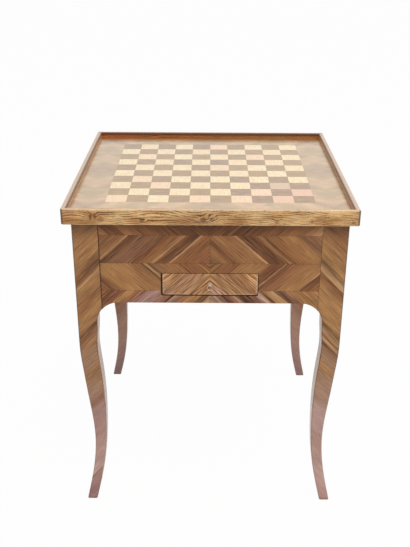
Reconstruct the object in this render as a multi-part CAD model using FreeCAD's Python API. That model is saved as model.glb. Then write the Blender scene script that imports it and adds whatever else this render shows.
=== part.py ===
# Games table: a lift-off tray top with a draughts board, a backgammon well under it,
# a small drawer in the front apron and four sawn cabriole legs.
# Millimetres. +Z is up, the drawer side faces -Y, and the origin is on the floor
# under the middle of the table.
import FreeCAD
import Part
import math
import os

from FreeCAD import Vector

# Whole table
overall_height = 740.0
top_width = 600.0
top_depth = 600.0
overhang = 17.0  # of the tray top past the body, on every side
veneer = 1.2  # thickness of every veneer and inlay
cut_overrun = 5.0  # how far a cutting tool passes the piece it cuts

# Tray top
lip_height = 32.0
lip_thickness = 11.0
lip_rise = 12.0  # lip above the playing surface
lip_round = 1.5  # softened top edges of the lip
lip_corner = 4.0  # bevel at the four outer corners of the tray
square = 44.0  # side of one square of the board
squares_per_side = 10
cleat_width = 16.0
cleat_height = 12.0
cleat_gap = 1.0  # cleats to the walls of the well

# Legs, sawn to the same S curve on two faces
post = 53.0  # side of the square post above the curve
leg_sweep = 18.5  # how far the outer face swings in at the ankle
toe_kick = 5.0  # how far the foot stands out past the post
foot_thickness = 22.5
knee_thickness = 39.5
leg_arris = 2.2  # bevel worn along the edges of the leg and round its sole
# Stations of the curve: heights are shares of the height of the seam between leg and
# bracket, the outer face follows shares of the sweep, and the thickness grows by shares
# from foot to knee
station_height_shares = (0.118, 0.216, 0.314, 0.432, 0.570, 0.707, 0.845)
station_sweep_shares = (0.43, 0.84, 1.00, 0.87, 0.52, 0.20, 0.00)
station_growth_shares = (0.06, 0.10, 0.21, 0.50, 0.88, 1.00, 1.00)

# Aprons and their veneer
apron_height = 183.0
apron_thickness = 20.0
bracket_reach = 37.0  # the curved bracket at each end of an apron
bracket_drop = 17.5
band_height = 62.7  # height of a full band of the chevron veneer
tenon_thickness = 8.0
tenon_length = 30.0
tenon_shoulder = 12.0  # above and below the tenon
tenon_gap = 0.1
mortise_spare = 1.0  # mortise deeper than its tenon

# Drawer
opening_width = 204.0
opening_height = 52.0
rail_height = 17.5  # strip of apron under the drawer
drawer_gap = 1.5  # round the drawer front
slide_gap = 0.3  # drawer to its runners, and to its stops
drawer_length = 380.0
drawer_front_thickness = 18.0
drawer_side_thickness = 8.0
drawer_side_height = 46.0
drawer_back_thickness = 8.0
drawer_back_inset = 4.0  # back of the drawer to the ends of its sides
drawer_bottom_thickness = 4.0
drawer_bottom_rise = 5.0  # bottom panel above the lower edge of the sides
groove_depth = 4.0
housing_depth = 3.0  # drawer back into the sides
tail_count = 2
tail_length = 12.0
tail_root = 10.0
tail_flare = 2.5  # each flank of a dovetail

# Drawer carriage
runner_width = 38.0
runner_height = 15.0
guide_thickness = 12.0
guide_height = 22.0
kicker_width = 26.0
kicker_thickness = 7.0
stop_length = 14.0
stop_height = 16.0

# Backgammon well
well_wall = 10.0
well_floor_thickness = 8.0
well_rebate = 5.0  # floor into the walls
infill_thickness = 12.0  # boards between the walls and the aprons
bar_width = 20.0
bar_height = 10.0
points_per_half = 6
point_length = 178.0
point_gap = 1.0  # flat between neighbouring points

# Ring pull
rosette_radius = 4.6
rosette_thickness = 2.0
rosette_rim = 0.7  # height of the straight edge under the bevels
rosette_shoulder = 1.5  # height where its two bevels meet
rosette_bevel = 1.2  # width of the outer bevel
shank_radius = 1.0
shank_gap = 0.1
eye_thickness = 3.0
neck_radius = 1.3  # of the post between the rosette and the eye
eye_wall = 1.4  # metal round the hole of the eye
eye_stand = 0.3  # rim of the eye to the face of the rosette
ring_radius = 5.6  # to the middle of the bar
ring_bar_radius = 1.0
ring_bar_flats = 12
ring_play = 0.15  # ring in its eye
nut_side = 7.0
nut_thickness = 2.5
shank_end = 1.5  # of the shank past its nut

# Places that follow from the sizes
body_top = overall_height - lip_height
half_width = top_width / 2 - overhang
half_depth = top_depth / 2 - overhang
post_inner_x = half_width - post
post_inner_y = half_depth - post
apron_bottom = body_top - apron_height
seam_height = apron_bottom - bracket_drop
bracket_radius = (bracket_reach**2 + bracket_drop**2) / (2 * bracket_drop)
apron_face = veneer  # depths are measured inward from the face of the body
apron_back = apron_face + apron_thickness
opening_bottom = apron_bottom + rail_height
opening_top = opening_bottom + opening_height
drawer_half_width = opening_width / 2 - drawer_gap
drawer_side_bottom = opening_bottom + slide_gap
drawer_back_end = -half_depth + drawer_length
board_half = square * squares_per_side / 2
playing_height = overall_height - lip_rise
well_bottom = opening_top + kicker_thickness
well_floor_top = well_bottom + well_floor_thickness
well_half_x = post_inner_x - well_wall
well_half_y = post_inner_y - well_wall
pull_height = opening_bottom + opening_height / 2
eye_half = eye_thickness / 2
ring_sag = ring_radius - math.sqrt(ring_radius**2 - eye_half**2)  # of the bar across the eye
eye_hole_radius = ring_bar_radius + ring_sag + ring_play
eye_radius = eye_hole_radius + eye_wall
eye_reach = eye_radius + eye_stand  # face of the rosette to the middle of the eye

# Sides and corners of the body, in order round it, each a quarter turn from the last
SIDES = ("front", "right", "back", "left")
CORNERS = ("front_left", "front_right", "back_right", "back_left")
QUARTER_TURN_DEGREES = 90
FULL_TURN_DEGREES = 360
UP = Vector(0, 0, 1)


def box(x, y, z):
    """Block between the low and high value of each axis."""
    size = [span[1] - span[0] for span in (x, y, z)]
    return Part.makeBox(*size, Vector(x[0], y[0], z[0]))


def turned(shape, quarters):
    """Copy of a shape turned about the Z axis by quarter turns."""
    copy = shape.copy()
    copy.rotate(Vector(0, 0, 0), UP, QUARTER_TURN_DEGREES * quarters)
    return copy


def at_side(shape, side):
    """Copy of a shape made at the front, turned to another side of the body."""
    return turned(shape, SIDES.index(side))


def across_front(side):
    """True for the two sides that run along X."""
    return side in ("front", "back")


def face_distance(side):
    """From the middle of the table to the face of the body on that side."""
    return half_depth if across_front(side) else half_width


def half_span(side):
    """Half of the clear distance between the posts of that side."""
    return post_inner_x if across_front(side) else post_inner_y


def mirrored(shape):
    """Copy of a shape on the other side of the YZ plane."""
    return shape.mirror(Vector(0, 0, 0), Vector(1, 0, 0))


def prism(points, direction):
    """Solid swept by a closed polygon along a direction."""
    wire = Part.makePolygon([*points, points[0]])
    return Part.Face(wire).extrude(direction)


def line(a, b):
    return Part.LineSegment(a, b).toShape()


# Legs


def leg_stations():
    """Points of the outer and the inner face, from the sole up to where they run straight."""
    outer = [Vector(-toe_kick, 0, 0)]
    inner = [Vector(foot_thickness - toe_kick, 0, 0)]
    growth = knee_thickness - foot_thickness
    shares = zip(station_height_shares, station_sweep_shares, station_growth_shares)
    for height_share, sweep_share, growth_share in shares:
        height = seam_height * height_share
        inset = leg_sweep * sweep_share
        outer.append(Vector(inset, 0, height))
        inner.append(Vector(inset + foot_thickness + growth * growth_share, 0, height))
    arc_end = post + bracket_reach - bracket_radius
    inner.append(Vector(arc_end, 0, apron_bottom - bracket_radius))
    return outer, inner


def smooth(points):
    """Curve through points that sets off towards the second and ends straight up."""
    curve = Part.BSplineCurve()
    curve.interpolate(Points=points, InitialTangent=points[1] - points[0], FinalTangent=UP)
    return curve.toShape()


def leg_profile():
    """Face of the sawn outline: X runs inward from the face of the post, Z is up."""
    outer, inner = leg_stations()
    seam = Vector(post, 0, seam_height)
    centre = Vector(post + bracket_reach, 0, apron_bottom - bracket_radius)
    half_way = (inner[-1] - centre) + (seam - centre)
    arc_middle = centre + half_way * (bracket_radius / half_way.Length)
    top_inner = Vector(post, 0, body_top)
    top_outer = Vector(0, 0, body_top)
    edges = [
        smooth(outer),
        line(outer[-1], top_outer),
        line(top_outer, top_inner),
        line(top_inner, seam),
        Part.Arc(inner[-1], arc_middle, seam).toShape(),
        smooth(inner),
        line(inner[0], outer[0]),
    ]
    return Part.Face(Part.Wire(Part.__sortEdges__(edges)))


def tenon_span():
    """Low and high end of the tenons, in height."""
    return apron_bottom + tenon_shoulder, body_top - tenon_shoulder


def tenon_depths():
    """Near and far face of a tenon, measured inward from the face of the body."""
    near = apron_face + (apron_thickness - tenon_thickness) / 2
    return near, near + tenon_thickness


def worn_edges(leg):
    """Edges round the sole of the foot and the long sawn edges that rise from it."""
    return [edge for edge in leg.Edges if edge.BoundBox.ZMin < leg_arris]


def leg_blank():
    """Leg with its outer corner on the Z axis, reaching towards +X and +Y."""
    reach = post + toe_kick + cut_overrun
    sawn_x = leg_profile().extrude(Vector(0, reach, 0))
    sawn_x.translate(Vector(0, -toe_kick, 0))
    sawn_y = mirrored(turned(leg_profile(), 1)).extrude(Vector(reach, 0, 0))
    sawn_y.translate(Vector(-toe_kick, 0, 0))
    leg = sawn_x.common(sawn_y)
    leg = leg.makeChamfer(leg_arris, worn_edges(leg))

    low, high = tenon_span()
    near, far = tenon_depths()
    across = (near - tenon_gap, far + tenon_gap)
    into = (post - tenon_length - mortise_spare, post + cut_overrun)
    tall = (low - tenon_gap, high + tenon_gap)
    return leg.cut(box(into, across, tall)).cut(box(across, into, tall))


def legs():
    blank = leg_blank()
    made = {}
    for quarters, corner in enumerate(CORNERS):
        leg = turned(blank, quarters)
        x = half_width if "right" in corner else -half_width
        y = half_depth if "back" in corner else -half_depth
        leg.translate(Vector(x, y, 0))
        made[corner + "_leg"] = leg.Solids[0]
    return made


# Aprons


def apron_outline(side, y):
    """Face of an apron seen from the front, with a curved bracket at each end."""
    end = half_span(side)
    straight = end - bracket_reach
    seam_angle = math.asin(bracket_reach / bracket_radius)
    centre_height = apron_bottom - bracket_radius
    middle_out = bracket_radius * math.sin(seam_angle / 2)
    middle_up = bracket_radius * math.cos(seam_angle / 2)

    def bracket(sign):
        start = Vector(sign * straight, y, apron_bottom)
        middle = Vector(sign * (straight + middle_out), y, centre_height + middle_up)
        return Part.Arc(start, middle, Vector(sign * end, y, seam_height)).toShape()

    top_left, top_right = Vector(-end, y, body_top), Vector(end, y, body_top)
    edges = [
        line(top_left, top_right),
        line(top_right, Vector(end, y, seam_height)),
        bracket(1),
        line(Vector(straight, y, apron_bottom), Vector(-straight, y, apron_bottom)),
        bracket(-1),
        line(Vector(-end, y, seam_height), top_left),
    ]
    return Part.Face(Part.Wire(Part.__sortEdges__(edges)))


def drawer_opening(y_low, y_high):
    half = opening_width / 2
    return box((-half, half), (y_low, y_high), (opening_bottom, opening_top))


def apron(side):
    """Apron board with a tenon at each end, and the drawer opening in the front one."""
    distance = face_distance(side)
    face = -distance + apron_face
    board = apron_outline(side, face).extrude(Vector(0, apron_thickness, 0))
    near, far = tenon_depths()
    ends = half_span(side) + tenon_length
    tenon = box((-ends, ends), (-distance + near, -distance + far), tenon_span())
    board = board.fuse(tenon).removeSplitter()
    if side == "front":
        board = board.cut(drawer_opening(face - cut_overrun, -distance + apron_back + cut_overrun))
    return at_side(board, side)


def apron_veneer(side):
    """Veneer of one apron: two mirrored halves, each in bands one above the other."""
    distance, end = face_distance(side), half_span(side)
    sheet = apron_outline(side, -distance).extrude(Vector(0, veneer, 0))
    depth = (-distance, -distance + veneer)
    if side == "front":
        sheet = sheet.cut(drawer_opening(depth[0] - cut_overrun, depth[1] + cut_overrun))
    middle = apron_bottom + apron_height / 2
    levels = [seam_height, middle - band_height, middle, middle + band_height, body_top]
    pieces = []
    for half in ((-end, 0), (0, end)):
        for low, high in zip(levels, levels[1:]):
            pieces += sheet.common(box(half, depth, (low, high))).Solids
    return at_side(Part.makeCompound(pieces), side)


# Backgammon well


def well_wall_board(side):
    """Wall of the well. The front and back walls run past the ends of the other two."""
    outer = -face_distance(side) + post
    length = half_span(side) if across_front(side) else half_span(side) - well_wall
    board = box((-length, length), (outer, outer + well_wall), (well_bottom, body_top))
    return at_side(board, side).cut(well_floor_blank())


def infill(side):
    """Board that closes the gap between an apron and the wall of the well."""
    distance, length = face_distance(side), half_span(side)
    across = (-distance + apron_back, -distance + post)
    board = box((-length, length), across, (body_top - infill_thickness, body_top))
    return at_side(board, side)


def well_floor_blank():
    x, y = well_half_x + well_rebate, well_half_y + well_rebate
    return box((-x, x), (-y, y), (well_bottom, well_floor_top))


def backgammon_points():
    """The two colours of inlaid points, which alternate along the front and the back."""
    pitch = (well_half_x - bar_width / 2) / points_per_half
    half_base = (pitch - point_gap) / 2
    inlay_height = well_floor_top - veneer
    colours = ([], [])
    for column in range(2 * points_per_half):
        across_bar = bar_width if column >= points_per_half else 0
        centre = -well_half_x + pitch * column + pitch / 2 + across_bar
        for row, sign in enumerate((-1, 1)):
            base, tip = sign * well_half_y, sign * (well_half_y - point_length)
            corners = [
                Vector(centre - half_base, base, inlay_height),
                Vector(centre + half_base, base, inlay_height),
                Vector(centre, tip, inlay_height),
            ]
            colours[(column + row) % 2].append(prism(corners, Vector(0, 0, veneer)))
    return colours


def well():
    light, dark = backgammon_points()
    half_bar = bar_width / 2
    bar_z = (well_floor_top, well_floor_top + bar_height)
    bar = box((-half_bar, half_bar), (-well_half_y, well_half_y), bar_z)
    made = {
        "well_floor": well_floor_blank().cut(light + dark),
        "well_light_points": Part.makeCompound(light),
        "well_dark_points": Part.makeCompound(dark),
        "well_bar": bar,
    }
    for side in SIDES:
        made["well_" + side + "_wall"] = well_wall_board(side)
        made[side + "_infill"] = infill(side)
    return made


# Drawer carriage


def carriage():
    """Runners, guides, kickers and stops that carry the drawer, left and right."""
    run = (-half_depth + apron_back, half_depth - apron_back)
    half_opening = opening_width / 2
    outer = half_opening + guide_thickness
    kicker_x = (half_opening - kicker_width, half_opening)
    stop_x = (outer - runner_width, half_opening)
    stop_y = (drawer_back_end + slide_gap, drawer_back_end + slide_gap + stop_length)
    right = {
        "runner": box((outer - runner_width, outer), run, (opening_bottom - runner_height, opening_bottom)),
        "guide": box((half_opening, outer), run, (opening_bottom, opening_bottom + guide_height)),
        "kicker": box(kicker_x, run, (opening_top, well_bottom)),
    }
    stop = box(stop_x, stop_y, (opening_bottom, opening_bottom + stop_height))
    made = {"drawer_stops": Part.makeCompound([stop, mirrored(stop)])}
    for name, shape in right.items():
        made["right_" + name] = shape
        made["left_" + name] = mirrored(shape)
    return made


# Drawer


def drawer_tails():
    """Dovetails on the front end of the right side, each flaring into the drawer front."""
    shoulder = -half_depth + veneer + drawer_front_thickness
    pitch = drawer_side_height / tail_count
    tails = []
    for number in range(tail_count):
        centre = drawer_side_bottom + pitch * (number + 1 / 2)
        root, end = tail_root / 2, tail_root / 2 + tail_flare
        corners = [
            Vector(drawer_half_width, shoulder, centre - root),
            Vector(drawer_half_width, shoulder - tail_length, centre - end),
            Vector(drawer_half_width, shoulder - tail_length, centre + end),
            Vector(drawer_half_width, shoulder, centre + root),
        ]
        tails.append(prism(corners, Vector(-drawer_side_thickness, 0, 0)))
    return tails


def drawer_bottom():
    x = drawer_half_width - drawer_side_thickness + groove_depth
    front = -half_depth + veneer + drawer_front_thickness - groove_depth
    low = drawer_side_bottom + drawer_bottom_rise
    return box((-x, x), (front, drawer_back_end - drawer_back_inset), (low, low + drawer_bottom_thickness))


def drawer_back():
    x = drawer_half_width - drawer_side_thickness + housing_depth
    rear = drawer_back_end - drawer_back_inset
    low = drawer_side_bottom + drawer_bottom_rise + drawer_bottom_thickness
    high = drawer_side_bottom + drawer_side_height
    return box((-x, x), (rear - drawer_back_thickness, rear), (low, high))


def drawer_side():
    """Right side of the drawer, with its dovetails, its groove and its housing."""
    x = (drawer_half_width - drawer_side_thickness, drawer_half_width)
    y = (-half_depth + veneer + drawer_front_thickness, drawer_back_end)
    z = (drawer_side_bottom, drawer_side_bottom + drawer_side_height)
    board = box(x, y, z).fuse(drawer_tails()).removeSplitter()
    return board.cut([drawer_bottom(), drawer_back()])


def shank_hole():
    depth = veneer + drawer_front_thickness + 2 * cut_overrun
    start = Vector(0, -half_depth - cut_overrun, pull_height)
    return Part.makeCylinder(shank_radius + shank_gap, depth, start, Vector(0, 1, 0))


def drawer_front():
    z = (opening_bottom + drawer_gap, opening_top - drawer_gap)
    y = (-half_depth + veneer, -half_depth + veneer + drawer_front_thickness)
    board = box((-drawer_half_width, drawer_half_width), y, z)
    tails = drawer_tails()
    return board.cut(tails + [mirrored(tail) for tail in tails] + [drawer_bottom(), shank_hole()])


def drawer_front_veneer():
    z = (opening_bottom + drawer_gap, opening_top - drawer_gap)
    y = (-half_depth, -half_depth + veneer)
    halves = [box(x, y, z).cut(shank_hole()) for x in ((-drawer_half_width, 0), (0, drawer_half_width))]
    return Part.makeCompound(halves)


def drawer():
    side = drawer_side()
    return {
        "drawer_front": drawer_front(),
        "drawer_front_veneer": drawer_front_veneer(),
        "drawer_right_side": side,
        "drawer_left_side": mirrored(side),
        "drawer_back": drawer_back(),
        "drawer_bottom": drawer_bottom(),
    }


# Ring pull


def revolved(points, centre):
    """Solid turned by a closed polygon about a line through a point and along Y."""
    face = Part.Face(Part.makePolygon([*points, points[0]]))
    return face.revolve(centre, Vector(0, 1, 0), FULL_TURN_DEGREES).Solids[0]


def rosette():
    """Turned back plate with two bevels round its flat face, bored for the shank."""
    hole = shank_radius + shank_gap
    profile = [
        (hole, 0),
        (rosette_radius, 0),
        (rosette_radius, rosette_rim),
        (rosette_radius - rosette_bevel, rosette_shoulder),
        (neck_radius, rosette_thickness),
        (hole, rosette_thickness),
    ]
    points = [Vector(0, -half_depth - depth, pull_height + radius) for radius, depth in profile]
    return revolved(points, Vector(0, 0, pull_height))


def eye_middle():
    return Vector(0, -half_depth - rosette_thickness - eye_reach, pull_height)


def pull_post():
    """Shank through the drawer front with a flat eye at its outer end."""
    middle = eye_middle()
    across = Vector(1, 0, 0)
    eye_start = middle - across * eye_half
    eye = Part.makeCylinder(eye_radius, eye_thickness, eye_start, across)
    neck = Part.makeCylinder(neck_radius, eye_reach, middle, Vector(0, 1, 0))
    shank_start = Vector(0, -half_depth - rosette_thickness, pull_height)
    length = rosette_thickness + veneer + drawer_front_thickness + nut_thickness + shank_end
    shank = Part.makeCylinder(shank_radius, length, shank_start, Vector(0, 1, 0))
    hole_start = middle - across * (eye_half + cut_overrun)
    hole = Part.makeCylinder(eye_hole_radius, eye_thickness + 2 * cut_overrun, hole_start, across)
    return eye.fuse([neck, shank]).cut(hole).removeSplitter()


def pull_ring():
    """Ring of a cast bar with flats round it, hanging in the eye parallel to the drawer front."""
    bar = []
    for flat in range(ring_bar_flats):
        angle = math.tau * flat / ring_bar_flats
        bar.append(eye_middle() + Vector(0, math.cos(angle), math.sin(angle)) * ring_bar_radius)
    return revolved(bar, eye_middle() - UP * ring_radius)


def pull_nut():
    inside = -half_depth + veneer + drawer_front_thickness
    half = nut_side / 2
    z = (pull_height - half, pull_height + half)
    return box((-half, half), (inside, inside + nut_thickness), z).cut(shank_hole())


def pull():
    return {
        "pull_rosette": rosette(),
        "pull_post": pull_post(),
        "pull_ring": pull_ring(),
        "pull_nut": pull_nut(),
    }


# Tray top


def top_half_sizes(side):
    """Half of the top's length along a side, and from the middle out to that side."""
    half_sizes = (top_width / 2, top_depth / 2)
    return half_sizes if across_front(side) else half_sizes[::-1]


def lip(side):
    """Lip moulding with softened top edges, mitred at both ends, with bevelled outer corners."""
    half_length, distance = top_half_sizes(side)
    outer, inner = -distance, -distance + lip_thickness
    bar = box((-half_length, half_length), (outer, inner), (body_top, overall_height))
    top_edges = [
        edge
        for edge in bar.Edges
        if edge.BoundBox.ZMin > body_top and edge.BoundBox.XLength > lip_thickness
    ]
    bar = bar.makeFillet(lip_round, top_edges)
    face = half_length - lip_corner
    mitre = half_length - lip_corner / 2
    short = half_length - lip_thickness
    plan = [
        Vector(-face, outer, body_top),
        Vector(face, outer, body_top),
        Vector(mitre, outer + lip_corner / 2, body_top),
        Vector(short, inner, body_top),
        Vector(-short, inner, body_top),
        Vector(-mitre, outer + lip_corner / 2, body_top),
    ]
    return at_side(bar.common(prism(plan, UP * lip_height)), side)


def border(side):
    """Veneer border between the board and one lip, mitred at both ends."""
    half_length, distance = [size - lip_thickness for size in top_half_sizes(side)]
    height = playing_height - veneer
    plan = [
        Vector(-half_length, -distance, height),
        Vector(half_length, -distance, height),
        Vector(board_half, -board_half, height),
        Vector(-board_half, -board_half, height),
    ]
    return at_side(prism(plan, UP * veneer), side)


def board_squares():
    """Light and dark squares. The left corner at the front is light."""
    height = (playing_height - veneer, playing_height)
    colours = ([], [])
    for column in range(squares_per_side):
        for row in range(squares_per_side):
            x = -board_half + column * square
            y = -board_half + row * square
            tile = box((x, x + square), (y, y + square), height)
            colours[(column + row) % 2].append(tile)
    return colours


def cleat():
    """Right batten under the top, which drops inside the well and centres the top."""
    x = (well_half_x - cleat_gap - cleat_width, well_half_x - cleat_gap)
    half_length = well_half_y - cleat_gap
    return box(x, (-half_length, half_length), (body_top - cleat_height, body_top))


def tray_top():
    core_x, core_y = top_width / 2 - lip_thickness, top_depth / 2 - lip_thickness
    core = box((-core_x, core_x), (-core_y, core_y), (body_top, playing_height - veneer))
    light, dark = board_squares()
    right_cleat = cleat()
    made = {
        "top_core": core,
        "light_squares": Part.makeCompound(light),
        "dark_squares": Part.makeCompound(dark),
        "right_cleat": right_cleat,
        "left_cleat": mirrored(right_cleat),
    }
    for side in SIDES:
        made[side + "_lip"] = lip(side)
        made[side + "_border"] = border(side)
    return made


def body():
    made = legs()
    for side in SIDES:
        made[side + "_apron"] = apron(side)
        made[side + "_apron_veneer"] = apron_veneer(side)
    return made


def main():
    os.makedirs("parts", exist_ok=True)
    nodes = {**body(), **well(), **carriage(), **drawer(), **pull(), **tray_top()}
    for name, shape in nodes.items():
        shape.exportStep(os.path.join("parts", name + ".step"))
        print(name, len(shape.Solids), "solids", round(shape.Volume), "mm3")


main()
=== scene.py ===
import math

import bpy
from mathutils import Matrix, Vector


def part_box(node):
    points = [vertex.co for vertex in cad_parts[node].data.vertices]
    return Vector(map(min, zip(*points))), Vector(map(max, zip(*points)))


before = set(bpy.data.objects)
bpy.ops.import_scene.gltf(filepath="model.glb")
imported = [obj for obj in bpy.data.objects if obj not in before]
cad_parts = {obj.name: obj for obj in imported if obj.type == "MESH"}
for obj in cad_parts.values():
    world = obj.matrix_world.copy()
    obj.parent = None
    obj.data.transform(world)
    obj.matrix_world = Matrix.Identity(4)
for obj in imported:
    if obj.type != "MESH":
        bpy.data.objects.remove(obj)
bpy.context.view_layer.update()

# In a metre
MILLIMETRES = 1000.0
# Axes of a box's corner
X = 0
Z = 2


def low(node, axis):
    """Lowest place of a node along an axis, in millimetres."""
    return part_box(node)[0][axis] * MILLIMETRES


def high(node, axis):
    """Highest place of a node along an axis, in millimetres."""
    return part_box(node)[1][axis] * MILLIMETRES


# The table's own places, in millimetres, read from the frame
TABLE_TOP = high("front_lip", Z)
LIP_BOTTOM = low("front_lip", Z)
LIP_INSIDE = low("right_lip", X)
BOARD_TOP = high("light_squares", Z)
TRAY_HALF = high("right_lip", X)
BOARD_HALF = high("light_squares", X)
BORDER_WIDTH = LIP_INSIDE - BOARD_HALF
SQUARES_IN_A_ROW = 10
SQUARE = 2 * BOARD_HALF / SQUARES_IN_A_ROW
APRON_END = high("front_apron_veneer", X)
POST_MIDDLE = (high("front_right_leg", X) + APRON_END) / 2
DRAWER_BOTTOM = low("drawer_front", Z)
DRAWER_TOP = high("drawer_front", Z)
DRAWER_HALF = high("drawer_front", X)
# The gap round the drawer front
DRAWER_GAP = 1.5

# Each side of the table: the axis along it, the axis through it, and which way is right when facing it
SIDES = {"front": ("x", "y", 1), "right": ("y", "x", 1), "back": ("x", "y", -1), "left": ("y", "x", -1)}
HANDS = ("left", "right")

# Chevron veneer of the aprons: the seam half way up, the height of a band and the slope of the strips
APRON_HEIGHT = 183.0
FOLD_SEAM = LIP_BOTTOM - APRON_HEIGHT / 2
BAND = 62.7
STRIP_SLOPE = 1.1
# Where each band above the rail starts
BAND_STARTS = {"lower": FOLD_SEAM - BAND, "upper": FOLD_SEAM, "under_lip": FOLD_SEAM + BAND}
# How far the strips move along from one apron to the next
STRIP_SHIFT = 23.0
# How strongly the grain shows in the aprons, in the rail along their foot and in the drawer front
VENEER_CONTRAST = 1.9
RAIL_CONTRAST = 3.3
DRAWER_CONTRAST = 2.4

# Refraction of the finishes: old satin polish shines little, and the polished board strongly
SATIN_IOR = 1.32
POLISHED_IOR = 1.95


def tone(red, green, blue):
    """A colour written as it looks on screen, from 0 to 255, turned into light."""
    shares = [part / 255 for part in (red, green, blue)]
    light = [part / 12.92 if part < 0.04045 else ((part + 0.055) / 1.055) ** 2.4 for part in shares]
    return (*light, 1.0)


# Tones of the veneer strips
TONES = {
    "pale": tone(204, 158, 112),
    "gold": tone(182, 133, 82),
    "honey": tone(166, 118, 74),
    "brown": tone(147, 96, 58),
    "red": tone(150, 95, 66),
    "grey": tone(134, 92, 67),
    "olive": tone(130, 96, 58),
    "dark": tone(114, 69, 41),
    "black": tone(85, 51, 31),
    "fawn": tone(178, 140, 114),
    "rosy": tone(208, 173, 162),
    "rose_brown": tone(182, 142, 130),
    "plum": tone(150, 111, 108),
    "mauve": tone(178, 144, 114),
    "moss": tone(183, 155, 115),
    "cream": tone(202, 167, 127),
}
# Old dirt in joints and corners, also laid on as painted shade under the lips and round the drawer
GRIME_AND_SHADE = tone(66, 40, 24)

# The strips that stand out in the aprons' veneer, by band, from the middle of an apron outward.
# Each stop is a place in millimetres across the strips and the tone there. Close stops make a joint.
LEFT_STRIPS = {
    "under_lip": [
        (0, "black"), (140, "dark"), (210, "brown"), (240, "honey"), (244, "dark"), (276, "dark"),
        (280, "honey"), (310, "brown"),
    ],
    "upper": [
        (0, "red"), (66, "brown"), (80, "brown"), (82, "pale"), (86, "pale"), (88, "dark"), (104, "black"),
        (117, "brown"), (120, "pale"), (123, "honey"), (146, "brown"), (160, "dark"), (166, "grey"),
        (212, "grey"), (224, "black"), (234, "black"), (237, "pale"), (242, "honey"), (290, "dark"),
        (310, "brown"),
    ],
    "lower": [
        (0, "brown"), (8, "honey"), (12, "dark"), (26, "gold"), (29, "dark"), (33, "brown"), (62, "brown"),
        (66, "dark"), (70, "honey"), (100, "honey"), (124, "grey"), (128, "black"), (137, "pale"),
        (141, "black"), (152, "honey"), (206, "gold"), (248, "gold"), (268, "dark"), (310, "dark"),
    ],
    "rail": [
        (0, "brown"), (40, "fawn"), (52, "pale"), (60, "dark"), (90, "gold"), (108, "red"), (128, "fawn"),
        (134, "black"), (140, "red"), (180, "rose_brown"), (214, "red"), (240, "gold"), (246, "red"),
        (278, "dark"), (310, "brown"),
    ],
}
RIGHT_STRIPS = {
    "under_lip": [
        (0, "black"), (102, "dark"), (107, "honey"), (110, "black"), (150, "dark"), (214, "brown"),
        (264, "honey"), (281, "pale"), (310, "honey"),
    ],
    "upper": [
        (0, "dark"), (36, "honey"), (50, "dark"), (72, "honey"), (115, "honey"), (118, "pale"), (121, "pale"),
        (123, "dark"), (146, "black"), (157, "dark"), (169, "gold"), (175, "black"), (182, "brown"),
        (236, "gold"), (256, "grey"), (310, "honey"),
    ],
    "lower": [
        (0, "dark"), (7, "honey"), (10, "black"), (22, "gold"), (25, "dark"), (33, "brown"), (58, "brown"),
        (62, "dark"), (66, "honey"), (90, "gold"), (118, "honey"), (134, "dark"), (156, "dark"),
        (159, "pale"), (162, "dark"), (180, "red"), (206, "honey"), (248, "gold"), (252, "pale"),
        (255, "dark"), (310, "brown"),
    ],
    "rail": [
        (0, "brown"), (62, "fawn"), (80, "black"), (96, "red"), (104, "fawn"), (112, "grey"), (120, "black"),
        (150, "grey"), (162, "rosy"), (166, "pale"), (174, "black"), (180, "honey"), (200, "pale"),
        (210, "black"), (222, "grey"), (240, "honey"), (310, "honey"),
    ],
}
# The drawer front, the same way
DRAWER_LEFT_STRIPS = [
    (0, "fawn"), (14, "gold"), (30, "dark"), (33, "gold"), (46, "dark"), (49, "fawn"), (62, "pale"),
    (64, "black"), (67, "rose_brown"), (82, "gold"), (92, "rose_brown"), (100, "dark"), (112, "fawn"),
    (136, "gold"), (160, "pale"),
]
DRAWER_RIGHT_STRIPS = [
    (0, "grey"), (10, "rose_brown"), (30, "rose_brown"), (38, "fawn"), (41, "black"), (44, "pale"),
    (48, "dark"), (58, "gold"), (66, "olive"), (72, "black"), (75, "pale"), (82, "honey"), (90, "dark"),
    (108, "red"), (128, "pale"), (132, "gold"), (160, "gold"),
]
# The border of the board, from the middle of each side outward
BORDER_STRIPS = [
    (0, "mauve"), (70, "moss"), (84, "cream"), (126, "cream"), (134, "moss"), (190, "moss"), (206, "cream"),
    (236, "cream"), (250, "mauve"), (286, "moss"), (330, "mauve"),
]
# The legs, from the floor up along the middle of the post
LEFT_LEG_STRIPS = [
    (-40, "plum"), (40, "plum"), (70, "rose_brown"), (73, "dark"), (76, "rosy"), (176, "rose_brown"),
    (240, "rose_brown"), (262, "brown"), (300, "fawn"), (342, "honey"), (392, "fawn"), (430, "honey"),
    (446, "grey"), (462, "dark"), (468, "honey"), (497, "gold"), (525, "brown"), (570, "gold"),
    (574, "pale"), (578, "gold"), (584, "dark"), (602, "dark"), (622, "gold"), (690, "honey"),
    (760, "dark"),
]
RIGHT_LEG_STRIPS = [
    (-40, "plum"), (24, "rose_brown"), (70, "rosy"), (150, "rose_brown"), (230, "rosy"), (270, "fawn"),
    (334, "fawn"), (356, "gold"), (392, "fawn"), (421, "dark"), (425, "pale"), (437, "dark"),
    (441, "pale"), (459, "olive"), (466, "olive"), (470, "gold"), (538, "gold"), (558, "brown"),
    (570, "dark"), (574, "pale"), (583, "pale"), (592, "olive"), (601, "olive"), (606, "gold"),
    (650, "honey"), (684, "brown"), (760, "dark"),
]
BACK_LEG_STRIPS = [
    (-40, "plum"), (30, "plum"), (90, "rose_brown"), (200, "fawn"), (260, "brown"), (330, "rose_brown"),
    (430, "fawn"), (520, "fawn"), (620, "dark"), (760, "dark"),
]


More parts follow.
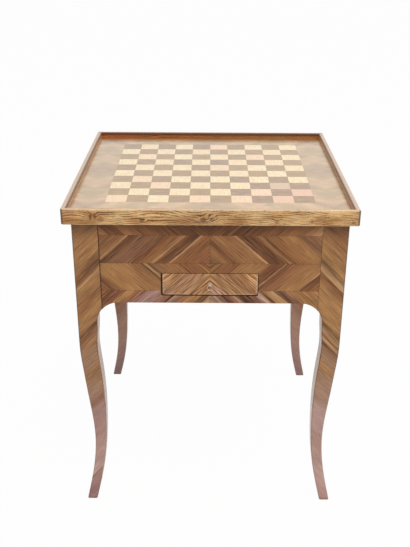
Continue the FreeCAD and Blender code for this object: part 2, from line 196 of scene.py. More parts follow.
class Value:
    """One socket of a node, which can be used in sums as a number can."""

    def __init__(self, nodes, socket):
        self.nodes = nodes
        self.socket = socket

    def output(self, name):
        """Another output of the node that this value comes from."""
        return Value(self.nodes, self.socket.node.outputs[name])

    def rises(self, start, end):
        """0 up to start, 1 from end on, and smooth between."""
        settings = {"interpolation_type": "SMOOTHSTEP"}
        return self.nodes.node("ShaderNodeMapRange", settings, {0: self, 1: start, 2: end})

    def fades(self, start, end):
        """1 up to start, 0 from end on, and smooth between."""
        return 1 - self.rises(start, end)

    def near(self, place, reach):
        """1 at a place, fading to 0 a reach away."""
        return abs(self - place).fades(0.0, reach)

    def sine(self):
        return self.nodes.math("SINE", self)

    def floor(self):
        return self.nodes.math("FLOOR", self)

    def fraction(self):
        return self.nodes.math("FRACT", self)

    def __abs__(self):
        return self.nodes.math("ABSOLUTE", self)

    def __neg__(self):
        return self.nodes.math("MULTIPLY", self, -1.0)

    def __add__(self, other):
        return self.nodes.math("ADD", self, other)

    def __radd__(self, other):
        return self.nodes.math("ADD", other, self)

    def __sub__(self, other):
        return self.nodes.math("SUBTRACT", self, other)

    def __rsub__(self, other):
        return self.nodes.math("SUBTRACT", other, self)

    def __mul__(self, other):
        return self.nodes.math("MULTIPLY", self, other)

    def __rmul__(self, other):
        return self.nodes.math("MULTIPLY", other, self)

    def __truediv__(self, other):
        return self.nodes.math("DIVIDE", self, other)

    def __rtruediv__(self, other):
        return self.nodes.math("DIVIDE", other, self)

    def __gt__(self, other):
        return self.nodes.math("GREATER_THAN", self, other)

    def __lt__(self, other):
        return self.nodes.math("LESS_THAN", self, other)


class Nodes:
    """The nodes of a material or of the world."""

    def __init__(self, owner):
        owner.use_nodes = True
        self.tree = owner.node_tree
        self.tree.nodes.clear()

    def node(self, kind, settings, values, output=0):
        """Adds a node: its settings come first, then the values or links of its sockets."""
        node = self.tree.nodes.new(kind)
        for name, setting in settings.items():
            if name == "stops":
                lay_stops(node.color_ramp, setting)
            else:
                setattr(node, name, setting)
        for name, value in values.items():
            if isinstance(value, Value):
                self.tree.links.new(value.socket, node.inputs[name])
            else:
                node.inputs[name].default_value = value
        return Value(self, node.outputs[output]) if node.outputs else None

    def math(self, operation, *operands):
        """Adds a Math node."""
        return self.node("ShaderNodeMath", {"operation": operation}, dict(enumerate(operands)))

    def larger(self, largest, *others):
        """The largest of some values."""
        for other in others:
            largest = self.math("MAXIMUM", largest, other)
        return largest

    def smaller(self, first, second):
        """The smaller of two values."""
        return self.math("MINIMUM", first, second)


class Finish(Nodes):
    """A material in the making. x, y and z are the place on the table, in millimetres."""

    def __init__(self, name):
        self.material = bpy.data.materials.new(name)
        super().__init__(self.material)
        self.x, self.y, self.z = (part * MILLIMETRES for part in self.coordinates("Object"))

    def coordinates(self, kind):
        """The three parts of a texture coordinate."""
        whole = self.node("ShaderNodeTexCoord", {}, {}, kind)
        first = self.node("ShaderNodeSeparateXYZ", {}, {0: whole})
        return first, first.output("Y"), first.output("Z")

    def mix(self, first, second, share):
        """The second colour over the first, where share is 1."""
        settings = {"data_type": "RGBA"}
        return self.node("ShaderNodeMix", settings, {0: share, 6: first, 7: second}, 2)

    def shade(self, colour, brightness):
        """A colour made lighter or darker."""
        light = colour if isinstance(colour, Value) else colour[:3]
        return self.node("ShaderNodeVectorMath", {"operation": "SCALE"}, {0: light, "Scale": brightness})

    def noise(self, across, along, layer=0.0, detail=3.0):
        """Soft noise over two lengths, each divided by the size of its grain. Each layer is another noise."""
        where = self.node("ShaderNodeCombineXYZ", {}, {0: across, 1: along, 2: layer})
        return self.node("ShaderNodeTexNoise", {}, {"Vector": where, "Scale": 1.0, "Detail": detail})

    def strips(self, across, stops):
        """Strips of veneer side by side, from stops of place and tone."""
        start = stops[0][0]
        reach = stops[-1][0] - start
        shares = [((place - start) / reach, TONES[name]) for place, name in stops]
        return self.node("ShaderNodeValToRGB", {"stops": shares}, {0: (across - start) / reach})

    def polish(self, colour, roughness, height, relief, **constants):
        """Joins the surface: its colour, its gloss and its relief, in millimetres."""
        rise = {"Strength": 1.0, "Distance": relief / MILLIMETRES, "Height": height}
        bumps = self.node("ShaderNodeBump", {}, rise)
        sockets = {"Base Color": colour, "Roughness": roughness, "Normal": bumps, **constants}
        surface = self.node("ShaderNodeBsdfPrincipled", {}, sockets)
        self.node("ShaderNodeOutputMaterial", {}, {"Surface": surface})
        return self.material


def lay_stops(ramp, stops):
    """Gives a colour ramp its stops."""
    while len(ramp.elements) > 1:
        ramp.elements.remove(ramp.elements[-1])
    for place, colour in stops:
        stop = ramp.elements[0] if place == 0 else ramp.elements.new(place)
        stop.position = place
        stop.color = colour


def feather(finish, across, along, reach=6.0):
    """Frays the edges of strips along the grain, as the fibres of wood do, by a reach in millimetres."""
    fibres = finish.noise(across / 1.5, along / 20, layer=21, detail=2)
    wave = finish.noise(across / 60, along / 80, layer=27, detail=1)
    return across + reach * (fibres + wave - 1)


def veneer_grain(finish, colour, calm, across, along, contrast=VENEER_CONTRAST):
    """Grain along the strips: they fade towards a calm tone here and there, with slow drifts, streaks
    and short dark pores. Dark strips are the stripiest. Gives a colour and a height."""
    stripy = finish.node("ShaderNodeRGBToBW", {}, {0: colour}).fades(0.07, 0.24)
    threads = finish.noise(across / 2.4, along / 140, layer=17, detail=1).rises(0.55, 0.68)
    colour = finish.mix(colour, TONES["gold"], 0.4 * stripy * threads)
    calmed = finish.noise(across / 34, along / 90, layer=13, detail=2).rises(0.36, 0.66)
    colour = finish.mix(colour, calm, 0.15 + 0.3 * calmed)
    drift = finish.noise(across / 22, along / 110)
    streak = finish.noise(across / 2.7, along / 75, layer=5, detail=2)
    pores = finish.noise(across / 1.1, along / 9, layer=9).rises(0.54, 0.7)
    streaks = contrast * (0.9 + 0.5 * stripy) * (streak - 0.5)
    brightness = 1.03 + 0.7 * (drift - 0.5) + streaks - 0.24 * pores
    return finish.shade(colour, brightness), streak - pores


def apron_strips(finish, across, sideways):
    """The strips of an apron's four bands, left of its middle and right of it."""
    halves = []
    for strips in (LEFT_STRIPS, RIGHT_STRIPS):
        half = finish.strips(across, strips["rail"])
        for band, start in BAND_STARTS.items():
            half = finish.mix(half, finish.strips(across, strips[band]), finish.z > start)
        halves.append(half)
    return finish.mix(*halves, sideways > 0)


def apron_grime_and_shade(finish, side, sideways):
    """Old dirt in an apron's seams, dark joints beside the posts deepened with painted shade, more on the
    left, and painted shade in the gap round the drawer.
    """
    band_seams = finish.larger(
        finish.z.near(BAND_STARTS["upper"], 0.9),
        finish.z.near(BAND_STARTS["lower"], 0.8),
        finish.z.near(BAND_STARTS["under_lip"], 0.8),
    )
    middle_seam = sideways.near(0.0, 0.9)
    # Dark joints beside the posts, deepened with painted shade that is stronger on the left
    left_end = (-sideways).rises(APRON_END - 3.0, APRON_END - 1.2)
    right_end = sideways.rises(APRON_END - 2.0, APRON_END - 0.6)
    grime_and_shade = finish.larger(0.45 * band_seams, 0.5 * middle_seam, 0.95 * left_end, 0.5 * right_end)
    # Painted shade in the gap beside and below the drawer
    if side == "front":
        drawer_height = (finish.z > DRAWER_BOTTOM) * (finish.z < DRAWER_TOP)
        beside = (-sideways).near(DRAWER_HALF + DRAWER_GAP, 2.0) * drawer_height
        below = finish.z.near(DRAWER_BOTTOM - DRAWER_GAP, 1.0) * (abs(sideways) < DRAWER_HALF)
        grime_and_shade = finish.larger(grime_and_shade, 0.95 * beside, 0.95 * below)
    return grime_and_shade


def apron_veneer(side, axis, direction, shift):
    """Chevron veneer of one apron: four bands of slanting strips, mirrored about the middle."""
    finish = Finish(side + "_apron_veneer")
    sideways = getattr(finish, axis) * direction
    fold = BAND - abs(abs(finish.z - FOLD_SEAM) - BAND)
    across = abs(sideways) + STRIP_SLOPE * fold + shift
    along = STRIP_SLOPE * abs(sideways) - fold
    colour = apron_strips(finish, feather(finish, across, along), sideways)
    rail = finish.z < BAND_STARTS["lower"]
    calm = finish.mix(TONES["brown"], colour, rail)
    contrast = VENEER_CONTRAST + (RAIL_CONTRAST - VENEER_CONTRAST) * rail
    colour, height = veneer_grain(finish, colour, calm, across, along, contrast)
    grime_and_shade = apron_grime_and_shade(finish, side, sideways)
    # Painted shade under the lip: the wood darkens over the 30 mm below the lip, with a darker painted line
    # just under it
    under_lip = finish.z.rises(LIP_BOTTOM - 30.0, LIP_BOTTOM)
    shade_against_lip = finish.z.rises(LIP_BOTTOM - 5.0, LIP_BOTTOM - 1.0)
    colour = finish.mix(colour, GRIME_AND_SHADE, finish.larger(grime_and_shade, 0.4 * under_lip, 0.7 * shade_against_lip))
    return finish.polish(colour, 0.3 + 0.16 * height, height - grime_and_shade, relief=0.1, IOR=SATIN_IOR)


# The rubbed rim of the drawer front, and how much brighter than the aprons it is
RUBBED_RIM = tone(216, 180, 152)
DRAWER_BRIGHTNESS = 1.33


def drawer_wear_and_shade(finish, colour):
    """The drawer front's rubbed rim, painted shade along its left and lower edges where the gap is, and dirt
    in its seam.
    """
    side_rim = abs(finish.x).rises(DRAWER_HALF - 5.0, DRAWER_HALF - 3.0)
    low_rim = finish.z.fades(DRAWER_BOTTOM + 2.4, DRAWER_BOTTOM + 4.0)
    patches = finish.noise(finish.x / 14, finish.z / 9, layer=23).rises(0.35, 0.6)
    colour = finish.mix(colour, RUBBED_RIM, 0.6 * patches * finish.larger(side_rim, low_rim))
    # Painted shade of the gap along the left and lower edges
    left_edge = (-finish.x).rises(DRAWER_HALF - 2.0, DRAWER_HALF - 1.0)
    low_edge = finish.z.fades(DRAWER_BOTTOM + 0.4, DRAWER_BOTTOM + 1.2)
    seam = finish.x.near(0.0, 0.8)
    return finish.mix(colour, GRIME_AND_SHADE, finish.larger(0.9 * left_edge, 0.9 * low_edge, 0.5 * seam))


def drawer_veneer():
    """The drawer front: golden strips with many fine dark lines, meeting in the middle."""
    finish = Finish("drawer_front_veneer")
    across = abs(finish.x) + STRIP_SLOPE * (finish.z - DRAWER_BOTTOM)
    along = STRIP_SLOPE * abs(finish.x) - finish.z
    feathered = feather(finish, across, along, reach=3.0)
    left = finish.strips(feathered, DRAWER_LEFT_STRIPS)
    right = finish.strips(feathered, DRAWER_RIGHT_STRIPS)
    colour = finish.mix(left, right, finish.x > 0)
    colour = finish.mix(colour, TONES["fawn"], 0.2)
    fibres = finish.noise(across / 3.1, along / 90, layer=3, detail=1)
    lines = fibres.rises(0.48, 0.57)
    colour = finish.mix(colour, TONES["pale"], 0.6 * fibres.fades(0.38, 0.47))
    colour = finish.mix(colour, TONES["dark"], 0.9 * lines)
    colour = finish.shade(colour, DRAWER_BRIGHTNESS)
    colour, height = veneer_grain(finish, colour, TONES["gold"], across, along, DRAWER_CONTRAST)
    colour = drawer_wear_and_shade(finish, colour)
    return finish.polish(colour, 0.3 + 0.16 * height, height - lines, relief=0.1, IOR=SATIN_IOR)


# The slope of a leg's joints, and the heights over which its foot turns golden and loses its own grain
LEG_STRIP_SLOPE = 1.05
TURNS_GOLDEN = (230.0, 380.0)
FOOT_GRAIN_ENDS = (180.0, 330.0)
# How strongly its grain shows at the foot and in the post
FOOT_CONTRAST = 0.7
POST_CONTRAST = 2.0
# Tones of the painted shade on its edges and sole
FOOT_EDGE_SHADE = tone(142, 108, 102)
POST_EDGE_SHADE = tone(84, 64, 52)


def leg_wood(place, strips):
    """A leg: slanting joints between lengths of wood, golden at the top and rosy at the foot."""
    finish = Finish(place + "_leg_wood")
    facing_x, facing_y = finish.coordinates("Normal")[:2]
    to_side = abs(facing_x)
    to_front = abs(facing_y)
    reach = abs(finish.x) + (abs(finish.y) - abs(finish.x)) * (to_side > to_front)
    across = finish.z + LEG_STRIP_SLOPE * (reach - POST_MIDDLE)
    along = reach - LEG_STRIP_SLOPE * finish.z
    colour = finish.strips(feather(finish, across, along), strips)
    golden = finish.z.rises(*TURNS_GOLDEN)
    calm = finish.mix(TONES["rose_brown"], TONES["honey"], golden)
    contrast = FOOT_CONTRAST + (POST_CONTRAST - FOOT_CONTRAST) * golden
    colour, height = veneer_grain(finish, colour, calm, across, along, contrast)
    steep = reach + 0.4 * finish.z
    foot_grain = finish.noise(steep / 3, finish.z / 70, layer=31) - 0.5
    colour = finish.shade(colour, 1 + 0.5 * foot_grain * finish.z.fades(*FOOT_GRAIN_ENDS))
    # Painted shade on the rounded edges, strongest on the outer edges of the post, and on the sole
    edge = finish.smaller(to_side, to_front).rises(0.08, 0.45)
    outer = facing_x * finish.x > 0
    edge_shade = edge * (0.2 + 0.1 * golden + 0.45 * golden * outer)
    sole_shade = 0.75 * finish.z.fades(1.0, 9.0)
    edge_shade_tone = finish.mix(FOOT_EDGE_SHADE, POST_EDGE_SHADE, golden)
    colour = finish.mix(colour, edge_shade_tone, finish.larger(edge_shade, sole_shade))
    # Painted shade at the top of the post, under the lip
    colour = finish.mix(colour, GRIME_AND_SHADE, 0.5 * finish.z.rises(LIP_BOTTOM - 40.0, LIP_BOTTOM))
    return finish.polish(colour, 0.09 + 0.12 * height, height, relief=0.1, IOR=SATIN_IOR)


def apron_core():
    """The plain wood behind the apron veneer, seen along the lower edge."""
    finish = Finish("apron_core")
    colour, height = veneer_grain(finish, TONES["dark"], TONES["brown"], finish.z, finish.x + finish.y)
    return finish.polish(colour, 0.45 + 0.1 * height, height, relief=0.2, IOR=SATIN_IOR)


# Oak of the lips, and how much its growth lines tilt
RING_TILT = 0.9
PALE_OAK = tone(250, 206, 144)
DEEP_OAK = tone(206, 151, 93)
OAK_LINE = tone(84, 46, 21)
OAK_PORE = tone(92, 55, 30)
KNOT = tone(104, 58, 48)
RED_OAK = tone(166, 104, 60)
RUBBED_OAK = tone(228, 198, 162)
BLEACHED_OAK = tone(206, 184, 168)
# Painted shade at the tray's corners
CORNER_SHADE = tone(84, 66, 50)
# Stains on the inner faces of the lips
SIDE_STAIN = tone(210, 170, 130)
RED_STAIN = tone(188, 102, 54)
GOLDEN_STAIN = tone(182, 128, 70)
DEEP_STAIN = tone(112, 52, 32)
STAINED_LINE = tone(84, 44, 30)
EDGE_STAIN = tone(92, 54, 33)
# How far the stain reaches over the top of each lip, and where along it the stain turns golden
STAIN_REACH = {"front": 2.5, "right": 4.5, "back": 14.0, "left": 4.5}
STAIN_TURNS_GOLDEN = (-180.0, 140.0)
# Where the front lip turns red, to the left of its middle
TURNS_RED = (264.0, 282.0)
# Marks on the front lip: place along it, height above its lower edge, half length, half height, darkness
LIP_MARKS = (
    (-240.0, 16.5, 3.0, 6.0, 0.8),
    (-231.0, 17.0, 3.0, 5.0, 0.75),
    (-220.0, 10.0, 6.0, 4.0, 0.45),
    (-18.0, 6.5, 16.0, 4.0, 0.62),
    (-14.0, 11.0, 6.0, 6.0, 0.78),
    (3.0, 12.0, 6.0, 4.5, 0.68),
    (-136.0, 8.0, 4.0, 2.5, 0.55),
    (133.0, 8.0, 5.0, 3.0, 0.55),
    (203.0, 8.0, 2.5, 3.0, 0.45),
    (287.0, 7.0, 4.0, 2.0, 0.6),
    (-6.0, 14.0, 70.0, 24.0, 0.2),
)


def lip_marks(finish, along, ragged):
    """The knots and stains of the front lip, and how far they push the grain aside."""
    marks = []
    swirl = 0.0
    for middle, rise, half_length, half_height, darkness in LIP_MARKS:
        sideways = (along - middle) / half_length
        upward = (finish.z - LIP_BOTTOM - rise) / half_height
        apart = sideways * sideways + upward * upward + 3.4 * ragged
        marks.append(darkness * apart.fades(0.3, 1.9))
        swirl = swirl + 5.0 * darkness * apart.fades(0.3, 9.0)
    return finish.larger(*marks), swirl


def oak_figure(finish, along, across, push):
    """Open oak grain: growth lines that come and go, pores, and slow drifts of tone."""
    wander = across + 34 * finish.noise(along / 110, across / 55, layer=2, detail=1) + push
    strong = finish.noise(along / 40, across / 6, layer=4).rises(0.28, 0.6)
    lines = (1.5 * wander).sine().rises(0.1, 0.9) * strong
    pores = finish.noise(along / 8, wander / 0.7, layer=7).rises(0.55, 0.7)
    drift = finish.noise(along / 70, across / 14, layer=11)
    return lines, pores, drift


def lip_outside(finish, side, along, figure, marks, ragged):
    """The outer face and top of a lip: pale oak with dark grain, rubbed edges and painted shade at the
    corners.
    """
    lines, pores, drift = figure
    colour = finish.mix(PALE_OAK, DEEP_OAK, drift.rises(0.35, 0.65))
    colour = finish.mix(colour, OAK_LINE, 0.97 * lines)
    colour = finish.mix(colour, OAK_PORE, 0.78 * pores)
    if side == "front":
        colour = finish.mix(colour, KNOT, marks)
        red_end = (30 * ragged - along).rises(*TURNS_RED)
        colour = finish.mix(colour, RED_OAK, 0.4 * red_end)
    low_edge = finish.z.fades(LIP_BOTTOM + 0.3, LIP_BOTTOM + 2.2)
    high_edge = finish.z.rises(TABLE_TOP - 3.0, TABLE_TOP - 0.8)
    rubbed = finish.larger(0.5 * low_edge, high_edge) * (ragged + 0.5).rises(0.25, 0.55)
    colour = finish.mix(colour, RUBBED_OAK, 0.7 * rubbed)
    if side in HANDS:
        top = finish.z.rises(TABLE_TOP - 2.0, TABLE_TOP - 0.6)
        colour = finish.mix(colour, BLEACHED_OAK, 0.7 * top)
    # Painted shade where the tray's corners turn away from the light
    corner_shade = finish.smaller(abs(finish.x), abs(finish.y)).rises(TRAY_HALF - 5.4, TRAY_HALF - 3.2)
    return finish.mix(colour, CORNER_SHADE, 0.8 * corner_shade)


def lip_inside(finish, side, along, figure, ragged):
    """The stained inner face of a lip, with dark lines along its upper edge and parts of its foot."""
    lines, _, drift = figure
    if side in HANDS:
        stain = finish.mix(SIDE_STAIN, STAINED_LINE, 0.4 * lines)
    else:
        stain = finish.mix(RED_STAIN, GOLDEN_STAIN, along.rises(*STAIN_TURNS_GOLDEN))
        upper = (finish.z + 10 * ragged).rises(BOARD_TOP + 2.0, TABLE_TOP - 4.0)
        stain = finish.mix(stain, DEEP_STAIN, upper)
        stain = finish.mix(stain, STAINED_LINE, 0.7 * lines)
    edge_line = finish.z.rises(TABLE_TOP - 8.0, TABLE_TOP - 2.0)
    foot_dirt = finish.noise(along / 40, 0.0, layer=33).rises(0.45, 0.6)
    foot_line = 0.5 * foot_dirt * finish.z.fades(BOARD_TOP, BOARD_TOP + 3.0)
    stain = finish.mix(stain, EDGE_STAIN, 0.85 * finish.larger(edge_line, foot_line))
    return finish.shade(stain, 0.45 + 1.1 * drift)


def lip_oak(side, axis, through):
    """A lip of the tray: open oak grain along its length, rubbed outside and stained inside the tray."""
    finish = Finish(side + "_lip_oak")
    along = getattr(finish, axis)
    across = finish.z + RING_TILT * abs(getattr(finish, through))
    ragged = finish.noise(along / 3, across / 2, layer=19) - 0.5
    marks, swirl = lip_marks(finish, along, ragged) if side == "front" else (0.0, 0.0)
    figure = oak_figure(finish, along, across, swirl + 2.0 * ragged)
    outward = finish.larger(abs(finish.x), abs(finish.y))
    inner = outward.fades(LIP_INSIDE + 1.0, LIP_INSIDE + STAIN_REACH[side])
    outside = lip_outside(finish, side, along, figure, marks, ragged)
    inside = lip_inside(finish, side, along, figure, ragged)
    colour = finish.mix(outside, inside, 0.92 * inner)
    lines, pores, _ = figure
    height = -lines - pores - 2 * marks
    return finish.polish(colour, 0.3 - 0.08 * height, height, relief=0.15, IOR=SATIN_IOR)


# A rubbed mark on the front border: its middle, half width and half length, slanting as the strips do
RUB_ALONG = 106.0
RUB_DEPTH = 12.0
RUB_HALF_WIDTH = 5.0
RUB_HALF_LENGTH = 22.0
RUB_SLANT = 0.7
RUBBED_BORDER = tone(226, 178, 156)
# The stain beside the lips, also used for the painted shadow of the back lip on the border
BORDER_STAIN_AND_SHADOW = tone(152, 88, 34)
# The least brightness of each border's veneer. The front border is painted lighter than the others, a painted
# difference of light.
BORDER_BRIGHTNESS = {"front": 0.53, "right": 0.45, "back": 0.45, "left": 0.45}


def border_rub(along, depth):
    """The rubbed mark on the front border, 1 where the polish is gone."""
    aside = RUB_SLANT * (along - RUB_ALONG)
    inward = RUB_SLANT * (depth - RUB_DEPTH)
    over = (aside + inward) / RUB_HALF_WIDTH
    lengthwise = (aside - inward) / RUB_HALF_LENGTH
    return (over * over + lengthwise * lengthwise).fades(0.2, 1.0)


def border_veneer(side, axis, through):
    """Pale veneer round the board, in slanting strips that fold along the middle of the border."""
    finish = Finish(side + "_border_veneer")
    along = getattr(finish, axis)
    depth = abs(getattr(finish, through)) - BOARD_HALF
    fold = abs(depth - BORDER_WIDTH / 2)
    across = abs(along) + fold
    lengthwise = abs(along) - fold
    drawn = across + 40 * finish.noise(along / 45, depth / 45, layer=12)
    grain = finish.noise(drawn / 3, lengthwise / 30, layer=6)
    cloud = finish.noise(drawn / 36, lengthwise / 50, layer=8)
    colour = finish.strips(feather(finish, across, lengthwise, reach=20.0), BORDER_STRIPS)
    colour = finish.shade(colour, BORDER_BRIGHTNESS[side] + 0.44 * grain + 0.76 * cloud)
    if side == "front":
        colour = finish.mix(colour, RUBBED_BORDER, 0.7 * border_rub(along, depth))
    beside_lip = (BORDER_WIDTH - depth).fades(0.5, 4.0)
    # Painted shadow of the back lip, cast over the back border
    beside_back_lip = (LIP_INSIDE - finish.y).fades(12.0, 30.0)
    stain = finish.larger(0.5 * beside_lip, 0.88 * beside_back_lip)
    colour = finish.mix(colour, BORDER_STAIN_AND_SHADOW, stain)
    roughness = 0.12 - 0.1 * beside_back_lip + 0.1 * grain
    return finish.polish(colour, roughness, grain, relief=0.05, IOR=POLISHED_IOR)


# Each square of the board is cut from one of three woods, with clouds of a warmer tone in it
LIGHT_WOODS = (tone(240, 219, 172), tone(239, 215, 168), tone(239, 203, 164))
DARK_WOODS = (tone(152, 118, 86), tone(158, 124, 82), tone(168, 132, 82))
LIGHT_CLOUDS = tone(236, 196, 146)
DARK_CLOUDS = tone(172, 136, 88)
# How strongly the grain of the squares shows
LIGHT_FIGURE = 0.6
DARK_FIGURE = 1.5
# The joints between squares, and bare wood where the polish is gone
SQUARE_JOINT = tone(120, 92, 70)
WORN_TAN = tone(206, 164, 134)
WORN_PINK = tone(232, 176, 150)
# Light squares whose polish is worn: columns and rows from the middle of the board, and the tone there
WORN_SQUARES = ((3.5, -2.5, WORN_TAN), (4.5, -3.5, WORN_PINK), (3.5, -4.5, WORN_PINK))


def board_squares(name, woods, clouds, figure, grain_axes, worn_squares):
    """One colour of squares on the board. The grain axes are the one along the grain and the one across."""
    finish = Finish(name)
    along, across = (getattr(finish, axis) for axis in grain_axes)
    columns = finish.x / SQUARE
    rows = finish.y / SQUARE
    own_place = finish.node("ShaderNodeCombineXYZ", {}, {0: columns.floor(), 1: rows.floor()})
    own = finish.node("ShaderNodeTexWhiteNoise", {"noise_dimensions": "2D"}, {"Vector": own_place})
    grain = finish.noise(across / 3 + 40 * own, along / 30, layer=2)
    cloud = finish.noise(across / 12 + 9 * own, along / 18, layer=5)
    colour = finish.mix(woods[0], woods[1], own.rises(0.1, 0.55))
    colour = finish.mix(colour, woods[2], own.rises(0.5, 0.85))
    colour = finish.mix(colour, clouds, 0.6 * cloud.rises(0.42, 0.68))
    colour = finish.shade(colour, 1.09 + figure * (grain - 0.5))
    for column, row, bare in worn_squares:
        inside = finish.larger(abs(columns - column), abs(rows - row)) < 0.5
        colour = finish.mix(colour, bare, 0.7 * inside)
    from_middle = finish.larger(abs(columns.fraction() - 0.5), abs(rows.fraction() - 0.5))
    joint = from_middle.rises(0.48, 0.5)
    colour = finish.mix(colour, SQUARE_JOINT, 0.5 * joint)
    return finish.polish(colour, 0.12 + 0.1 * grain, grain - joint, relief=0.05, IOR=POLISHED_IOR)


# Woods inside the table, and how rough their faces are
PINE = tone(206, 170, 124)
PINE_ROUGHNESS = 0.5
WALNUT = tone(142, 98, 66)
WALNUT_ROUGHNESS = 0.36
LIGHT_POINT = tone(222, 186, 134)
DARK_POINT = tone(92, 58, 42)


def plain_wood(name, base, grain_axis, roughness):
    """Plain boards: straight grain along one axis."""
    finish = Finish(name)
    along = getattr(finish, grain_axis)
    across = finish.x + finish.y + finish.z - along
    wander = 6 * finish.noise(along / 160, across / 50, layer=2, detail=1)
    growth = finish.noise((across + wander) / 3.5, along / 120, layer=4)
    pores = finish.noise(across / 0.8, along / 12, layer=8).rises(0.6, 0.72)
    colour = finish.shade(base, 0.55 + 0.9 * growth - 0.15 * pores)
    return finish.polish(colour, roughness + 0.15 * growth, growth - pores, relief=0.15)


def point_inlay(name, base):
    """The long points let into the floor of the well, grain along each point."""
    finish = Finish(name)
    grain = finish.noise(finish.x / 2.2, finish.y / 60, layer=3)
    drift = finish.noise(finish.x / 31, finish.y / 300, layer=5)
    colour = finish.shade(base, 0.5 + 0.5 * grain + 0.5 * drift)
    return finish.polish(colour, 0.3 + 0.12 * grain, grain, relief=0.08)


# Old brass, from dull to pale
DULL_BRASS = tone(176, 152, 124)
PALE_BRASS = tone(214, 194, 166)


def pull_brass():
    """Old brass of the pull, in dull and pale patches with a fine uneven skin."""
    finish = Finish("pull_brass")
    patina = finish.noise(finish.x / 3, finish.z / 3, layer=finish.y / 3)
    skin = finish.noise(finish.x / 0.6, finish.z / 0.6, layer=finish.y / 0.6)
    colour = finish.mix(DULL_BRASS, PALE_BRASS, patina.rises(0.35, 0.65))
    return finish.polish(colour, 0.36 + 0.3 * patina, skin, relief=0.04, Metallic=1.0)


def dress(material, *nodes):
    """Gives nodes of the frame a finish."""
    for name in nodes:
        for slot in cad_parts[name].material_slots:
            slot.material = material


def dress_outside():
    """Finishes of what is seen from outside: aprons, lips, border, legs, drawer front, board and pull."""
    core = apron_core()
    for turn, (side, (axis, through, direction)) in enumerate(SIDES.items()):
        dress(apron_veneer(side, axis, direction, turn * STRIP_SHIFT), side + "_apron_veneer")
        dress(core, side + "_apron")
        dress(lip_oak(side, axis, through), side + "_lip")
        dress(border_veneer(side, axis, through), side + "_border")
    dress(leg_wood("front_left", LEFT_LEG_STRIPS), "front_left_leg")
    dress(leg_wood("front_right", RIGHT_LEG_STRIPS), "front_right_leg")
    dress(leg_wood("back", BACK_LEG_STRIPS), "back_left_leg", "back_right_leg")
    dress(drawer_veneer(), "drawer_front_veneer")
    light = board_squares("light_square_veneer", LIGHT_WOODS, LIGHT_CLOUDS, LIGHT_FIGURE, "yx", WORN_SQUARES)
    dark = board_squares("dark_square_veneer", DARK_WOODS, DARK_CLOUDS, DARK_FIGURE, "xy", ())
    dress(light, "light_squares")
    dress(dark, "dark_squares")
    dress(pull_brass(), "pull_rosette", "pull_post", "pull_nut", "pull_ring")


def dress_inside():
    """Finishes of the woods inside: the drawer's box and carriage, the top's core and the well."""
    crosswise = plain_wood("secondary_wood_crosswise", PINE, "x", PINE_ROUGHNESS)
    lengthwise = plain_wood("secondary_wood_lengthwise", PINE, "y", PINE_ROUGHNESS)
    well_crosswise = plain_wood("well_wood_crosswise", WALNUT, "x", WALNUT_ROUGHNESS)
    well_lengthwise = plain_wood("well_wood_lengthwise", WALNUT, "y", WALNUT_ROUGHNESS)
    dress(crosswise, "drawer_front", "drawer_back", "drawer_bottom", "drawer_stops", "top_core")
    dress(crosswise, "front_infill", "back_infill")
    dress(well_crosswise, "well_front_wall", "well_back_wall", "well_floor")
    dress(well_lengthwise, "well_left_wall", "well_right_wall", "well_bar")
    for hand in HANDS:
        dress(lengthwise, "drawer_" + hand + "_side", hand + "_runner", hand + "_guide", hand + "_kicker")
        dress(lengthwise, hand + "_cleat", hand + "_infill")
    dress(point_inlay("light_point_inlay", LIGHT_POINT), "well_light_points")
    dress(point_inlay("dark_point_inlay", DARK_POINT), "well_dark_points")


WHITE = (1.0, 1.0, 1.0, 1.0)


def white_for_the_camera(nodes, lit, white, share):
    """The lit shader, turned white for the camera and in reflections by a share."""
    camera = nodes.node("ShaderNodeLightPath", {}, {}, "Is Camera Ray")
    seen = nodes.larger(camera, camera.output("Is Glossy Ray"), camera.output("Is Transmission Ray"))
    return nodes.node("ShaderNodeMixShader", {}, {0: share * seen, 1: lit, 2: white})


# The floor, in metres: half its width, its own colour, and how far it is turned white
FLOOR_HALF = 15.0
FLOOR_COLOUR = (0.86, 0.85, 0.84, 1.0)
FLOOR_WHITE = 0.97


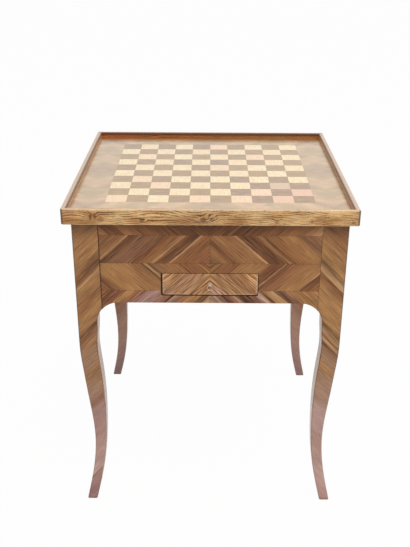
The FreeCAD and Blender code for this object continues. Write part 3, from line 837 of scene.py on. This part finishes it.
def studio_floor():
    """A plain pale floor that keeps a faint shadow of the table."""
    corners = [(-FLOOR_HALF, -FLOOR_HALF, 0), (FLOOR_HALF, -FLOOR_HALF, 0),
               (FLOOR_HALF, FLOOR_HALF, 0), (-FLOOR_HALF, FLOOR_HALF, 0)]
    mesh = bpy.data.meshes.new("studio_floor")
    mesh.from_pydata(corners, [], [(0, 1, 2, 3)])
    floor = bpy.data.objects.new("studio_floor", mesh)
    bpy.context.scene.collection.objects.link(floor)
    material = bpy.data.materials.new("studio_floor")
    nodes = Nodes(material)
    lit = nodes.node("ShaderNodeBsdfDiffuse", {}, {"Color": FLOOR_COLOUR})
    white = nodes.node("ShaderNodeEmission", {}, {"Color": WHITE, "Strength": 1.0})
    surface = white_for_the_camera(nodes, lit, white, FLOOR_WHITE)
    nodes.node("ShaderNodeOutputMaterial", {}, {"Surface": surface})
    mesh.materials.append(material)


# The light from all round, and the lamp's place and target in metres
ROOM_LIGHT = 0.55
LAMP_PLACE = (0.7, -0.9, 2.8)
LAMP_TARGET = (0.0, 0.0, 0.7)


def studio_light():
    """Soft light from all round, and one large lamp above the front right corner."""
    world = bpy.data.worlds.new("studio")
    bpy.context.scene.world = world
    nodes = Nodes(world)
    lit = nodes.node("ShaderNodeBackground", {}, {"Color": WHITE, "Strength": ROOM_LIGHT})
    white = nodes.node("ShaderNodeBackground", {}, {"Color": WHITE, "Strength": 1.0})
    nodes.node("ShaderNodeOutputWorld", {}, {"Surface": white_for_the_camera(nodes, lit, white, 1.0)})
    lamp = bpy.data.lights.new("overhead_softbox", "AREA")
    lamp.shape = "SQUARE"
    lamp.size = 2.2
    lamp.energy = 38.0
    softbox = bpy.data.objects.new("overhead_softbox", lamp)
    softbox.location = LAMP_PLACE
    aim = Vector(LAMP_TARGET) - softbox.location
    softbox.rotation_euler = aim.to_track_quat("-Z", "Y").to_euler()
    bpy.context.scene.collection.objects.link(softbox)


# The camera, in metres and degrees
CAMERA_PLACE = (-0.0058, -1.7773, 1.2873)
CAMERA_YAW = -0.175
CAMERA_PITCH = 24.892
CAMERA_ROLL = 0.276


def photo_camera():
    """The camera where the photograph was taken."""
    camera = bpy.data.cameras.new("photo_camera")
    camera.sensor_fit = "VERTICAL"
    camera.sensor_height = 36.0
    camera.lens = 52.03
    eye = bpy.data.objects.new("photo_camera", camera)
    aside = Matrix.Rotation(math.radians(-CAMERA_YAW), 4, "Z")
    down = Matrix.Rotation(math.radians(90 - CAMERA_PITCH), 4, "X")
    tilt = Matrix.Rotation(math.radians(CAMERA_ROLL), 4, "Z")
    eye.matrix_world = Matrix.Translation(CAMERA_PLACE) @ aside @ down @ tilt
    bpy.context.scene.collection.objects.link(eye)
    bpy.context.scene.camera = eye


dress_outside()
dress_inside()
studio_floor()
studio_light()
photo_camera()
bpy.context.scene.view_settings.view_transform = "Standard"
